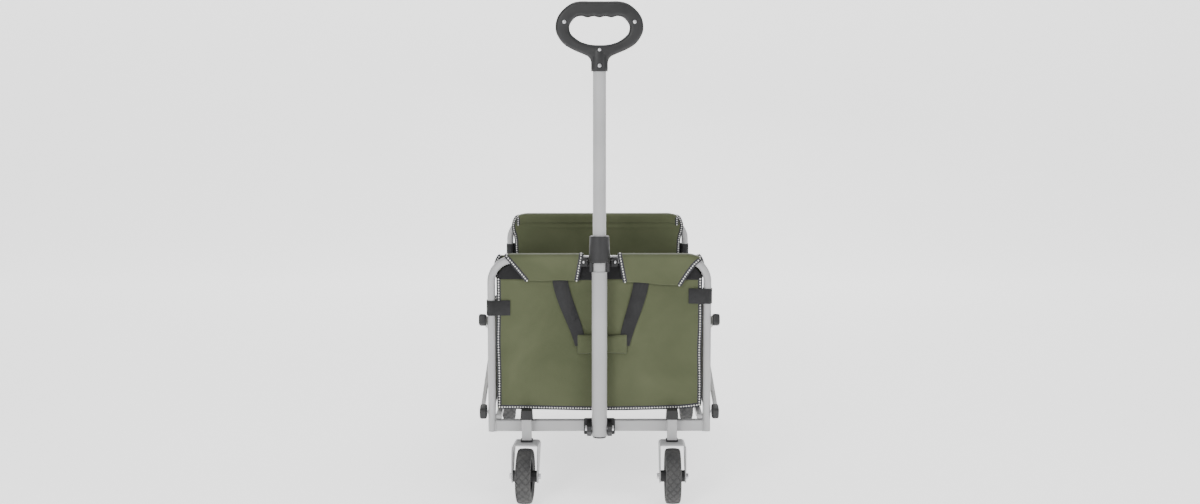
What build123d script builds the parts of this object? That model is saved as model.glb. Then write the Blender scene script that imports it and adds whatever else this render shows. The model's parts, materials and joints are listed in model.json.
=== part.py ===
"""Folding camp wagon: two steel hoops, crossed side bars, a folding floor, casters and a pull handle.

Millimetres, +Z up, ground at Z = 0. The handle end faces -Y. Left and right are as seen from that
end, so left is -X. The origin is on the ground under the centre of the wagon's outline.
"""
from build123d import *
import os
from math import atan2, cos, degrees, hypot, radians, sin

# ---- driving dimensions -------------------------------------------------------------------------
frame_width = 500.0          # over the outer faces of the posts
frame_length = 850.0         # front post plane to rear post plane
hoop_top = 550.0             # top of the hoop tube
post_bottom = 152.0
tube_width = 17.0            # oval hoop tube, across the wagon
tube_depth = 28.0            # oval hoop tube, along the wagon
tube_wall = 1.5
hoop_bend_radius = 50.0      # to the tube's centre line

cross_bar_height = 25.0
cross_bar_depth = 20.0

wheel_radius = 62.0
wheel_width = 34.0
rim_radius = 44.0
hub_radius = 13.0
axle_radius = 4.0
front_track = 326.0          # between the swivel axes
rear_track = 486.0           # between the rear wheel centres
rear_axle_setback = 85.0     # rear axle ahead of the rear posts
caster_trail = 38.0
left_caster_turn = -4.0      # degrees that the left caster stands turned at rest
caster_post_size = 22.0
caster_post_bottom = 137.0
caster_post_top = 184.0
caster_cap_size = 28.0
caster_cap_height = 21.0
swivel_gap = 4.5             # height of the swivel bearing under the caster post
fork_width = 60.0
fork_plate = 3.0
stem_radius = 5.0

handle_tube_radius = 17.0
inner_tube_radius = 14.5
handle_tube_wall = 1.6
handle_pivot_z = 168.0
handle_tube_bottom = 151.0
handle_tube_top = 520.0
inner_tube_top = 985.0
telescope_overlap = 55.0     # length of inner tube inside the outer one when pulled out
collar_bottom = 541.0
collar_height = 58.0
collar_radius = 24.0
grip_width = 190.0
grip_height = 118.0
grip_top = 1108.0
grip_thickness = 27.0
grip_hole_width = 129.0
grip_hole_height = 61.0
grip_bar = 31.0              # depth of the top bar of the grip
neck_bottom = 958.0

bar_pivot_z = 195.0          # lower pivots of the side bars
bar_rise = 210.0             # upper ends stand this far above the lower ones
side_bar_height = 22.0
side_bar_thickness = 7.0
side_cap_width = 17.0
side_cap_length = 34.0

rail_pivot_z = 184.0
rail_size = 12.0
rail_pin_radius = 2.5
board_thickness = 6.0
board_start = 60.0           # distance of the base boards from the end pivots

panel_bottom = 206.0
panel_thickness = 2.5
side_rim = 452.0             # top edge of the side panels
flap_drop = 62.0             # how far the flaps hang down the outside of the hoops
flap_thickness = 2.6
panel_offset = 6.0           # inner face of an end panel to the post plane
webbing = 2.0
webbing_width = 34.0
sleeve_thickness = 10.0      # padded sleeve on a carry strap
sleeve_width = 112.0
sleeve_height = 47.0
sleeve_z = 352.0

# ---- clearances ---------------------------------------------------------------------------------
air = 0.3                    # between soft parts and their neighbours
running = 0.08               # radial play of a pin in its hole
side_gap = 0.5               # between parts that turn past each other
seat = 0.02                  # between fitted pieces

# ---- derived places -----------------------------------------------------------------------------
post_x = (frame_width - tube_width) / 2
bar_z = post_bottom + cross_bar_height / 2
half_depth = tube_depth / 2
caster_y_offset = cross_bar_depth / 2 + seat + caster_post_size / 2
front_reach = caster_y_offset + caster_trail + wheel_radius
rear_reach = frame_length + panel_offset + panel_thickness + air + sleeve_thickness
front_y = (front_reach - rear_reach) / 2
rear_y = front_y + frame_length
middle_y = (front_y + rear_y) / 2
caster_x = front_track / 2
caster_y = front_y - caster_y_offset
fork_top = caster_post_bottom - swivel_gap
rear_axle_y = rear_y - rear_axle_setback
handle_y = front_y - half_depth - flap_thickness - 10.5 - handle_tube_radius
rail_length = frame_length / 2
bar_length = hypot(frame_length, bar_rise)
bar_angle = degrees(atan2(bar_rise, frame_length))
strap_outer = frame_width / 2 + webbing + air
inner_bar_x = strap_outer + 0.4 + side_bar_thickness / 2
outer_bar_x = inner_bar_x + side_bar_thickness + side_gap
cap_x = inner_bar_x - side_bar_thickness / 2 + side_cap_width / 2
front_rail_x = frame_width / 2 - tube_width - side_gap - rail_size / 2
rear_rail_x = front_rail_x - rail_size - side_gap
inner_half = frame_width / 2 - tube_width


def save(part, label):
    """Label a finished piece and write it to its own file."""
    part.label = label
    export_step(part, f"parts/{label}.step")


def across(x, y, z):
    """A sketch plane at a point, facing +X, with its x axis along the wagon."""
    return Plane(origin=(x, y, z), x_dir=(0, 1, 0), z_dir=(1, 0, 0))


def endwise(y):
    """A sketch plane that faces the handle end, with its x axis across the wagon and y axis up."""
    return Plane(origin=(0, y, 0), x_dir=(1, 0, 0), z_dir=(0, -1, 0))


os.makedirs("parts", exist_ok=True)

# ---- hoops and cross bars -----------------------------------------------------------------------
hoop_centre_top = hoop_top - tube_width / 2


def make_hoop(y):
    """One hoop: an oval tube bent into an upside-down U, drilled for the pivot bolts."""
    with BuildPart() as hoop:
        with BuildLine():
            path = FilletPolyline(
                (-post_x, y, post_bottom),
                (-post_x, y, hoop_centre_top),
                (post_x, y, hoop_centre_top),
                (post_x, y, post_bottom),
                radius=hoop_bend_radius,
            )
        with BuildSketch(Plane(origin=path @ 0, x_dir=(1, 0, 0), z_dir=path % 0)):
            RectangleRounded(tube_width, tube_depth, tube_width / 2 - 0.1)
            offset(amount=-tube_wall, kind=Kind.INTERSECTION, mode=Mode.SUBTRACT)
        sweep()
        for height, radius in ((bar_pivot_z, axle_radius), (rail_pivot_z, rail_pin_radius)):
            with BuildSketch(across(-frame_width / 2 - 1, y, height)):
                Circle(radius + seat)
            extrude(amount=frame_width + 2, mode=Mode.SUBTRACT)
    return hoop.part


def make_cross_bar(y):
    """The square tube welded between the feet of a hoop."""
    with BuildPart() as bar:
        with BuildSketch(across(-inner_half + seat, y, bar_z)):
            RectangleRounded(cross_bar_depth, cross_bar_height, 2.5)
            RectangleRounded(cross_bar_depth - 3, cross_bar_height - 3, 1.2, mode=Mode.SUBTRACT)
        extrude(amount=2 * (inner_half - seat))
    return bar.part


save(make_hoop(front_y), "front_hoop")
save(make_hoop(rear_y), "rear_hoop")
save(make_cross_bar(front_y), "front_cross_bar")
save(make_cross_bar(rear_y), "rear_cross_bar")

# ---- pivot bolts: the side bars and floor rails turn on these -----------------------------------


def make_pivot_bolts(y, rail_x):
    """Two long bolts for the side bars and two short pins for the floor rails, at one end."""
    with BuildPart() as bolts:
        for side in (-1, 1):
            for height, radius, inner, outer in (
                (bar_pivot_z, axle_radius, inner_half, outer_bar_x + side_bar_thickness / 2),
                (rail_pivot_z, rail_pin_radius, rail_x - rail_size / 2 + 2, frame_width / 2 - 1),
            ):
                with BuildSketch(across(side * inner, y, height)):
                    Circle(radius)
                extrude(amount=side * (outer - inner))
    return bolts.part


save(make_pivot_bolts(front_y, front_rail_x), "front_pivot_bolts")

# ---- side bars ----------------------------------------------------------------------------------
bar_hole = axle_radius + running


def bar_plane(x, y, lean):
    """A plane on a side bar: origin at its lower pivot, x axis along the bar, facing +X or -X."""
    along = (0, lean * cos(radians(bar_angle)), sin(radians(bar_angle)))
    return Plane(origin=(x, y, bar_pivot_z), x_dir=along, z_dir=(lean, 0, 0))


def make_side_bars(y, lean, x):
    """The two bars hinged at one end of the wagon, flattened tubes with a hole at the pivot."""
    with BuildPart() as bars:
        for side in (-1, 1):
            plane = bar_plane(side * x, y, lean)
            with BuildSketch(plane):
                with Locations((bar_length / 2, 0)):
                    SlotCenterToCenter(bar_length, side_bar_height - 3)
                Circle(bar_hole, mode=Mode.SUBTRACT)
            extrude(amount=side_bar_thickness / 2, both=True)
    return bars.part


def make_side_caps(y, lean, x):
    """Moulded caps pushed over both ends of each bar, hollow for the bar and the bolt."""
    with BuildPart() as caps:
        for side in (-1, 1):
            for end, turn in ((0, -1), (bar_length, 1)):
                plane = bar_plane(side * cap_x, y, lean)
                with BuildSketch(plane):
                    with Locations((end - turn * (side_cap_length / 2 - 15), 0)):
                        RectangleRounded(side_cap_length, side_bar_height + 3, 9)
                    if end == 0:
                        Circle(bar_hole + 1, mode=Mode.SUBTRACT)
                extrude(amount=side_cap_width / 2, both=True)
        for side in (-1, 1):
            with BuildSketch(bar_plane(side * x, y, lean)):
                with Locations((bar_length / 2, 0)):
                    SlotCenterToCenter(bar_length, side_bar_height - 3 + 2 * seat)
            extrude(amount=side_bar_thickness / 2 + seat, both=True, mode=Mode.SUBTRACT)
    return caps.part


save(make_side_bars(front_y, 1, outer_bar_x), "side_bars_outer")
save(make_side_bars(rear_y, -1, inner_bar_x), "side_bars_inner")
save(make_side_caps(front_y, 1, outer_bar_x), "side_bar_caps_outer")
save(make_side_caps(rear_y, -1, inner_bar_x), "side_bar_caps_inner")

with BuildPart() as cross_rivets:
    for side in (-1, 1):
        face = outer_bar_x + side_bar_thickness / 2 + seat
        with BuildSketch(across(side * face, middle_y, bar_pivot_z + bar_rise / 2)):
            Circle(6.5)
        extrude(amount=side * 2.2)
save(cross_rivets.part, "cross_rivets")

# ---- floor rails and base boards ----------------------------------------------------------------
rail_hole = rail_pin_radius + running
rod_radius = 3.0


def make_rails(x, start, end):
    """Two floor rails between an end pivot and the centre rod."""
    with BuildPart() as rails:
        for side in (-1, 1):
            with BuildSketch(across(side * x, start, rail_pivot_z)):
                with Locations(((end - start) / 2, 0)):
                    SlotCenterToCenter(abs(end - start), rail_size)
                Circle(rail_hole, mode=Mode.SUBTRACT)
                with Locations((end - start, 0)):
                    Circle(rod_radius + running, mode=Mode.SUBTRACT)
            extrude(amount=rail_size / 2, both=True)
    return rails.part


save(make_rails(front_rail_x, front_y, middle_y), "floor_rails_front")
save(make_rails(rear_rail_x, rear_y, middle_y), "floor_rails_rear")

with BuildPart() as centre_rod:
    rod_half = front_rail_x + rail_size / 2
    with BuildSketch(across(-rod_half, middle_y, rail_pivot_z)):
        Circle(rod_radius)
    extrude(amount=2 * rod_half)
save(centre_rod.part, "centre_hinge_rod")

board_half = front_rail_x - 1
board_bottom = rail_pivot_z + rail_size / 2 + seat


def make_board(near, far):
    """One half of the stiff base, a board laid on the rails."""
    with BuildPart() as board:
        with BuildSketch(Plane((0, (near + far) / 2, board_bottom))):
            RectangleRounded(2 * board_half, abs(far - near), 8)
        extrude(amount=board_thickness)
    return board.part


save(make_board(front_y + board_start, middle_y - 2), "floor_board_front")
save(make_board(middle_y + 2, rear_y - board_start), "floor_board_rear")

strap_base = board_bottom + board_thickness + air
with BuildPart() as pull_strap:
    with BuildSketch(Plane.YZ.offset(-webbing_width / 2)):
        with Locations((middle_y - 60, strap_base + 11)):
            RectangleRounded(90, 22, 10)
            RectangleRounded(90 - 2 * webbing, 22 - 2 * webbing, 10 - webbing, mode=Mode.SUBTRACT)
    extrude(amount=webbing_width)
save(pull_strap.part, "fold_pull_strap")

# ---- casters ------------------------------------------------------------------------------------
with BuildPart() as caster_posts:
    for side in (-1, 1):
        with BuildSketch(Plane((side * caster_x, caster_y, caster_post_bottom))):
            RectangleRounded(caster_post_size, caster_post_size, 2)
            RectangleRounded(caster_post_size - 3, caster_post_size - 3, 1, mode=Mode.SUBTRACT)
        extrude(amount=caster_post_top - caster_post_bottom)
save(caster_posts.part, "caster_posts")

with BuildPart() as caster_post_caps:
    for side in (-1, 1):
        with BuildSketch(Plane((side * caster_x, caster_y, caster_post_top + seat))):
            RectangleRounded(caster_cap_size, caster_cap_size, 3)
        extrude(amount=caster_cap_height, taper=4)
        with BuildSketch(Plane((side * caster_x, caster_y, caster_post_top + seat - 8))):
            RectangleRounded(caster_post_size - 3.2, caster_post_size - 3.2, 1)
        extrude(amount=8)
    for top in caster_post_caps.faces().sort_by(Axis.Z)[-2:]:
        fillet(top.edges(), 1.2)
save(caster_post_caps.part, "caster_post_caps")

bush_bore = stem_radius + running
bush_depth = 30.0
with BuildPart() as caster_bushes:
    for side in (-1, 1):
        with BuildSketch(Plane((side * caster_x, caster_y, caster_post_bottom - seat))):
            RectangleRounded(caster_cap_size - 1, caster_cap_size - 1, 4)
            Circle(bush_bore, mode=Mode.SUBTRACT)
        extrude(amount=-(swivel_gap - 1.0))
        with BuildSketch(Plane((side * caster_x, caster_y, caster_post_bottom - seat))):
            RectangleRounded(caster_post_size - 3.2, caster_post_size - 3.2, 1)
            Circle(bush_bore, mode=Mode.SUBTRACT)
        extrude(amount=bush_depth)
save(caster_bushes.part, "caster_bushes")

fork_inner = fork_width - 2 * fork_plate
leg_half = 14.0
bridge_front = caster_trail - 2
bridge_back = 18.0


def make_fork(x):
    """A pressed caster fork: bridge plate, two tapering legs and the swivel stem."""
    with BuildPart() as fork:
        with BuildSketch(across(x - fork_width / 2, caster_y, 0)):
            with BuildLine():
                Polyline(
                    (bridge_back, fork_top),
                    (-bridge_front, fork_top),
                    (-bridge_front - 8, fork_top - 14),
                    (-caster_trail - leg_half + 3, wheel_radius + 3),
                    (-caster_trail - leg_half + 3, wheel_radius - 6),
                    (-caster_trail - 5, wheel_radius - leg_half),
                    (-caster_trail + 5, wheel_radius - leg_half),
                    (-caster_trail + leg_half - 3, wheel_radius - 6),
                    (bridge_back - 12, fork_top - 26),
                    (bridge_back, fork_top - 12),
                    close=True,
                )
            make_face()
        extrude(amount=fork_width)
        with BuildSketch(across(x - fork_inner / 2, caster_y, 0)):
            with Locations((-20, fork_top - fork_plate - 60)):
                Rectangle(140, 120)
        extrude(amount=fork_inner, mode=Mode.SUBTRACT)
        shoulders = fork.edges().filter_by(Axis.Y).group_by(Axis.Z)[-1]
        fillet(shoulders, 8)
        with BuildSketch(across(x - fork_width / 2 - 1, caster_y - caster_trail, wheel_radius)):
            Circle(axle_radius + seat)
        extrude(amount=fork_width + 2, mode=Mode.SUBTRACT)
        with BuildSketch(Plane((x, caster_y, fork_top - fork_plate))):
            Circle(stem_radius)
        extrude(amount=bush_depth - 2 + fork_plate + swivel_gap)
        with BuildSketch(Plane((x, caster_y, fork_top - 0.5))):
            Circle(stem_radius + 4)
        extrude(amount=1.3)
    return fork.part


def make_axle(x, y, half, head):
    """An axle bolt with a hexagon head and nut outside the fork or bracket."""
    with BuildPart() as axle:
        with BuildSketch(across(x - half, y, wheel_radius)):
            Circle(axle_radius)
        extrude(amount=2 * half)
        for side in (-1, 1):
            with BuildSketch(across(x + side * (half + seat), y, wheel_radius)):
                RegularPolygon(head, 6)
            extrude(amount=side * 5)
            with BuildSketch(across(x + side * half, y, wheel_radius)):
                Circle(axle_radius)
            extrude(amount=side * 5)
    return axle.part


def make_tyre(x, y):
    """A solid tyre with rounded shoulders."""
    half = wheel_width / 2
    shoulder = (half - 2, wheel_radius - 2)
    crown = (half - 7, wheel_radius - 0.6)
    with BuildPart() as tyre:
        with BuildSketch(Plane(origin=(x, y, wheel_radius), x_dir=(1, 0, 0), z_dir=(0, 1, 0))) as section:
            with BuildLine():
                Polyline((-half + 4, rim_radius + seat), (-half, rim_radius + 6))
                Line((-half, rim_radius + 6), (-half, wheel_radius - 6))
                ThreePointArc((-half, wheel_radius - 6), (-shoulder[0], shoulder[1]), (-crown[0], crown[1]))
                ThreePointArc((-crown[0], crown[1]), (0, wheel_radius), crown)
                ThreePointArc(crown, shoulder, (half, wheel_radius - 6))
                Line((half, wheel_radius - 6), (half, rim_radius + 6))
                Polyline((half, rim_radius + 6), (half - 4, rim_radius + seat), (-half + 4, rim_radius + seat))
            make_face()
        revolve(axis=Axis((x, y, wheel_radius), (1, 0, 0)))
    return tyre.part


def make_rim(x, y, hub_half):
    """A moulded rim: outer ring, web with windows between spokes, and hub."""
    half = wheel_width / 2 - 4
    with BuildPart() as rim:
        with BuildSketch(across(x - half, y, wheel_radius)):
            Circle(rim_radius)
            Circle(rim_radius - 5, mode=Mode.SUBTRACT)
        extrude(amount=2 * half)
        with BuildSketch(across(x - 5, y, wheel_radius)):
            Circle(rim_radius - 4)
            Circle(hub_radius - 1, mode=Mode.SUBTRACT)
            with PolarLocations((rim_radius - 5 + hub_radius) / 2, 6):
                Circle(7.5, mode=Mode.SUBTRACT)
        extrude(amount=10)
        with BuildSketch(across(x - hub_half, y, wheel_radius)):
            Circle(hub_radius)
        extrude(amount=2 * hub_half)
        with BuildSketch(across(x - hub_half - 1, y, wheel_radius)):
            Circle(axle_radius + running)
        extrude(amount=2 * hub_half + 2, mode=Mode.SUBTRACT)
    return rim.part


for side, name in ((-1, "left"), (1, "right")):
    x = side * caster_x
    wheel_y = caster_y - caster_trail
    swivel = Axis((x, caster_y, 0), (0, 0, 1))
    turn = left_caster_turn if side < 0 else 0
    save(make_fork(x).rotate(swivel, turn), f"caster_fork_{name}")
    save(make_axle(x, wheel_y, fork_width / 2, 6.5).rotate(swivel, turn), f"caster_axle_{name}")
    save(make_tyre(x, wheel_y).rotate(swivel, turn), f"front_tyre_{name}")
    save(make_rim(x, wheel_y, fork_inner / 2 - side_gap).rotate(swivel, turn), f"front_rim_{name}")
    save(make_tyre(side * rear_track / 2, rear_axle_y), f"rear_tyre_{name}")
    save(make_rim(side * rear_track / 2, rear_axle_y, wheel_width / 2), f"rear_rim_{name}")

# ---- rear axle brackets and rear bolts ----------------------------------------------------------
bracket_plate = 4.0
bracket_x = rear_track / 2 - wheel_width / 2 - 1.5 - bracket_plate
with BuildPart() as rear_axle_brackets:
    for side in (-1, 1):
        with BuildSketch(across(side * bracket_x, rear_y - cross_bar_depth / 2 - seat, 0)):
            with BuildLine():
                Polyline(
                    (0, post_bottom + cross_bar_height),
                    (-22, post_bottom + cross_bar_height),
                    (-rear_axle_setback + cross_bar_depth / 2 - 14, wheel_radius + 6),
                    (-rear_axle_setback + cross_bar_depth / 2 - 8, wheel_radius - 12),
                    (-rear_axle_setback + cross_bar_depth / 2 + 8, wheel_radius - 12),
                    (0, post_bottom),
                    close=True,
                )
            make_face()
            with Locations((cross_bar_depth / 2 - rear_axle_setback + seat, wheel_radius)):
                Circle(axle_radius + seat, mode=Mode.SUBTRACT)
        extrude(amount=side * bracket_plate)
        with BuildSketch(across(side * (bracket_x - 18), rear_y - cross_bar_depth / 2 - seat, bar_z)):
            with Locations((-1.5, 0)):
                Rectangle(3, cross_bar_height)
        extrude(amount=side * 18.5)
save(rear_axle_brackets.part, "rear_axle_brackets")

with BuildPart() as rear_bolts:
    add(make_pivot_bolts(rear_y, rear_rail_x))
    for side in (-1, 1):
        inner = bracket_x - 6
        outer = rear_track / 2 + wheel_width / 2 + 7
        with BuildSketch(across(side * inner, rear_axle_y, wheel_radius)):
            Circle(axle_radius)
        extrude(amount=side * (outer - inner))
        for start, length in ((inner, 6 - seat), (outer - 6, 5)):
            with BuildSketch(across(side * start, rear_axle_y, wheel_radius)):
                RegularPolygon(6.5, 6)
            extrude(amount=side * length)
save(rear_bolts.part, "rear_bolts")

# ---- pull handle --------------------------------------------------------------------------------
ear_inner = handle_tube_radius + side_gap
ear_outer = 28.0
bracket_back = front_y - cross_bar_depth / 2 - seat
ear_front = handle_y - 10
with BuildPart() as handle_bracket:
    with BuildSketch(endwise(bracket_back)):
        with Locations((0, bar_z)):
            RectangleRounded(70, cross_bar_height + 12, 3)
    extrude(amount=3)
    for side in (-1, 1):
        with BuildSketch(across(side * ear_inner, 0, 0)):
            with BuildLine():
                Polyline(
                    (bracket_back - 2, bar_z + 14),
                    (handle_y + 4, handle_pivot_z + 10),
                    (ear_front, handle_pivot_z + 5),
                    (ear_front, handle_pivot_z - 7),
                    (handle_y + 6, handle_pivot_z - 20),
                    (bracket_back - 2, bar_z - 16),
                    close=True,
                )
            make_face()
        extrude(amount=side * (ear_outer - ear_inner))
    with BuildSketch(across(-ear_outer - 1, handle_y, handle_pivot_z)):
        Circle(axle_radius + seat)
    extrude(amount=2 * ear_outer + 2, mode=Mode.SUBTRACT)
save(handle_bracket.part, "handle_bracket")

with BuildPart() as handle_pivot_bolt:
    with BuildSketch(across(-ear_outer, handle_y, handle_pivot_z)):
        Circle(axle_radius)
    extrude(amount=2 * ear_outer)
    for side in (-1, 1):
        with BuildSketch(across(side * (ear_outer + seat), handle_y, handle_pivot_z)):
            RegularPolygon(6.5, 6)
        extrude(amount=side * 4)
        with BuildSketch(across(side * ear_outer, handle_y, handle_pivot_z)):
            Circle(axle_radius)
        extrude(amount=side * 4)
save(handle_pivot_bolt.part, "handle_pivot_bolt")

with BuildPart() as handle_outer_tube:
    with BuildSketch(Plane((0, handle_y, handle_tube_bottom))):
        Circle(handle_tube_radius)
        Circle(handle_tube_radius - handle_tube_wall, mode=Mode.SUBTRACT)
    extrude(amount=handle_tube_top - handle_tube_bottom)
    with BuildSketch(across(-ear_inner, handle_y, handle_pivot_z)):
        Circle(axle_radius + running)
    extrude(amount=2 * ear_inner, mode=Mode.SUBTRACT)
save(handle_outer_tube.part, "handle_outer_tube")

with BuildPart() as handle_end_plug:
    with BuildSketch(Plane((0, handle_y, handle_tube_bottom - seat))):
        Circle(handle_tube_radius - 0.5)
    extrude(amount=-4, taper=25)
    with BuildSketch(Plane((0, handle_y, handle_tube_bottom - seat - 0.5))):
        Circle(handle_tube_radius - handle_tube_wall - seat)
    extrude(amount=9)
save(handle_end_plug.part, "handle_end_plug")

collar_bore = inner_tube_radius + 0.35
leg_width = 7.0
button_z = collar_bottom + collar_height * 0.62
with BuildPart() as handle_collar:
    with BuildSketch(Plane((0, handle_y, collar_bottom))):
        Circle(collar_radius)
    with BuildSketch(Plane((0, handle_y, collar_bottom + collar_height))):
        Circle(collar_radius - 2.5)
    loft()
    collar_ends = handle_collar.edges().filter_by(GeomType.CIRCLE)
    fillet(collar_ends, 2)
    with BuildSketch(Plane((0, handle_y, handle_tube_top + seat))):
        with Locations((-collar_radius + 5.6, 0), (collar_radius - 5.6, 0)):
            Rectangle(leg_width, 16)
    extrude(amount=collar_bottom + 3 - handle_tube_top)
    with BuildSketch(Plane((0, handle_y, handle_tube_top))):
        Circle(collar_bore)
    extrude(amount=collar_bottom + collar_height + 2 - handle_tube_top, mode=Mode.SUBTRACT)
    with BuildSketch(Plane(origin=(0, handle_y + 14, button_z), x_dir=(1, 0, 0), z_dir=(0, 1, 0))):
        SlotOverall(16.6, 10.6, rotation=90)
    extrude(amount=20, mode=Mode.SUBTRACT)
save(handle_collar.part, "handle_collar")

button_back = handle_y + inner_tube_radius + 4
with BuildPart() as lock_button:
    with BuildSketch(Plane(origin=(0, button_back, button_z), x_dir=(1, 0, 0), z_dir=(0, 1, 0))):
        SlotOverall(16, 10, rotation=90)
    extrude(amount=8)
    fillet(lock_button.faces().sort_by(Axis.Y)[-1].edges(), 1.5)
save(lock_button.part, "lock_button")

inner_tube_bottom = handle_tube_top - telescope_overlap
with BuildPart() as handle_inner_tube:
    with BuildSketch(Plane((0, handle_y, inner_tube_bottom))):
        Circle(inner_tube_radius)
        Circle(inner_tube_radius - handle_tube_wall, mode=Mode.SUBTRACT)
    extrude(amount=telescope_overlap - handle_tube_top + inner_tube_top)
save(handle_inner_tube.part, "handle_inner_tube")

# ---- grip: two moulded shells riveted over the top of the inner tube ----------------------------
hole_top = grip_top - grip_bar
hole_bottom = hole_top - grip_hole_height
neck_half = 18.0


def make_shell(direction):
    """One half of the grip, split on the plane of the loop: -1 faces forward, 1 faces the basket."""
    plane = Plane(origin=(0, handle_y, 0), x_dir=(-direction, 0, 0), z_dir=(0, direction, 0))
    half = grip_width / 2
    shoulder = neck_half + 2
    shoulder_z = grip_top - grip_height - 14
    with BuildPart() as shell:
        with BuildSketch(plane.offset(seat / 2)):
            with BuildLine():
                top = Line((-48, grip_top), (48, grip_top))
                right = Spline(
                    top @ 1,
                    (half, grip_top - 50),
                    (52, grip_top - grip_height + 10),
                    (shoulder, shoulder_z),
                    tangents=((1, -0.05), (-0.35, -1)),
                )
                mirror(right, about=Plane.YZ)
                Polyline(
                    (shoulder, shoulder_z),
                    (neck_half, neck_bottom),
                    (-neck_half, neck_bottom),
                    (-shoulder, shoulder_z),
                )
            make_face()
            with Locations((0, (hole_top + hole_bottom) / 2)):
                SlotOverall(grip_hole_width, grip_hole_height, mode=Mode.SUBTRACT)
        extrude(amount=grip_thickness / 2)
        face = shell.faces().sort_by(Axis.Y)[-1 if direction > 0 else 0]
        chamfer(face.edges(), 4)
        with BuildSketch(Plane((0, handle_y, neck_bottom - 1))):
            Circle(inner_tube_radius + seat)
        extrude(amount=inner_tube_top - neck_bottom + 1 + seat, mode=Mode.SUBTRACT)
        for x, z in rivet_places:
            with BuildSketch(plane):
                with Locations((direction * -x, z)):
                    Circle(2.5 + seat)
            extrude(amount=grip_thickness, mode=Mode.SUBTRACT)
    return shell.part


rivet_places = ((-76, grip_top - 44), (76, grip_top - 44), (0, hole_bottom - 12))
save(make_shell(-1), "grip_front_shell")
save(make_shell(1), "grip_rear_shell")

with BuildPart() as grip_rivets:
    for x, z in rivet_places:
        with BuildSketch(endwise(handle_y + grip_thickness / 2)):
            with Locations((x, z)):
                Circle(2.5)
        extrude(amount=grip_thickness)
save(grip_rivets.part, "grip_rivets")

# ---- clip on the hoop that holds the handle upright ---------------------------------------------
clip_face = front_y - half_depth - air
clip_z = hoop_top - 12.5
with BuildPart() as handle_clip:
    with BuildSketch(endwise(clip_face)):
        with Locations((0, clip_z)):
            RectangleRounded(82, 21, 4)
    extrude(amount=3.5)
    for side in (-1, 1):
        with BuildSketch(Plane((side * 27.4, clip_face - 3, clip_z - 8))):
            with Locations((0, -8)):
                RectangleRounded(4, 18, 1.5)
        extrude(amount=14)
save(handle_clip.part, "handle_clip")

with BuildPart() as handle_clip_rivets:
    with BuildSketch(endwise(clip_face - 3.5 - seat)):
        with Locations((-34.5, clip_z), (34.5, clip_z)):
            Circle(3.2)
    extrude(amount=1.4)
save(handle_clip_rivets.part, "handle_clip_rivets")

# ---- fabric: simple closed solids of the true size ----------------------------------------------
panel_half = inner_half - webbing - 2 * air
panel_top = hoop_top - tube_width - air
lining_bottom = 498.0
front_panel_face = front_y - panel_offset
rear_panel_face = rear_y + panel_offset + panel_thickness


def make_slab(face_y, outline, depth):
    """A flat piece of cloth seen from the handle end, its front face at face_y."""
    with BuildPart() as slab:
        with BuildSketch(endwise(face_y + depth)):
            with BuildLine():
                Polyline(*outline, close=True)
            make_face()
        extrude(amount=depth)
    return slab.part


bend_inner = hoop_bend_radius - tube_width / 2


def panel_outline(bottom, top):
    """Corners of a panel piece between two heights, cut off where the hoop bends inwards."""
    level = panel_top - bend_inner
    low_half = min(panel_half, panel_half - (bottom - level))
    outline = [(low_half, bottom)]
    if bottom < level < top:
        outline.append((panel_half, level))
    outline.append((panel_half - (top - level), top))
    return [(-x, z) for x, z in outline] + outline[::-1]


front_panel_y = front_panel_face - panel_thickness
save(make_slab(front_panel_y, panel_outline(panel_bottom, lining_bottom), panel_thickness), "front_panel")
save(
    make_slab(front_panel_y, panel_outline(lining_bottom + air, panel_top), panel_thickness),
    "front_lining",
)
save(
    make_slab(rear_panel_face - panel_thickness, panel_outline(panel_bottom, panel_top), panel_thickness),
    "rear_panel",
)


def make_flap(y, top_left, top_right, bottom_left, bottom_right):
    """A flap folded over the hoop's top bar, with a long tongue outside and a short one inside."""
    outward = -1 if y < 0 else 1
    reach = half_depth + air + flap_thickness
    low = hoop_top - flap_drop
    with BuildPart() as flap:
        with BuildSketch(across(min(top_left, bottom_left), y, 0)):
            with BuildLine():
                Polyline(
                    (outward * reach, low),
                    (outward * reach, hoop_top + air + flap_thickness),
                    (-outward * reach, hoop_top + air + flap_thickness),
                    (-outward * reach, hoop_top - 30),
                    (-outward * (reach - flap_thickness), hoop_top - 30),
                    (-outward * (reach - flap_thickness), hoop_top + air),
                    (outward * (reach - flap_thickness), hoop_top + air),
                    (outward * (reach - flap_thickness), low),
                    close=True,
                )
            make_face()
        extrude(amount=max(top_right, bottom_right) - min(top_left, bottom_left))
        with BuildSketch(endwise(y + reach + 1)):
            with BuildLine():
                Polyline(
                    (bottom_left, low),
                    (bottom_right, low),
                    (top_right, hoop_top),
                    (top_right, hoop_top + 10),
                    (top_left, hoop_top + 10),
                    (top_left, hoop_top),
                    close=True,
                )
            make_face()
        extrude(amount=2 * reach + 2, mode=Mode.INTERSECT)
    return flap.part


flap_edge = post_x - hoop_bend_radius + 1
clip_room = 43.0
save(make_flap(front_y, -flap_edge, -clip_room, -flap_edge + 33, -clip_room - 9), "front_flap_left")
save(make_flap(front_y, clip_room, flap_edge, clip_room + 9, flap_edge - 33), "front_flap_right")
save(make_flap(rear_y, -flap_edge, flap_edge, -flap_edge, flap_edge), "rear_flap")


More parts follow.
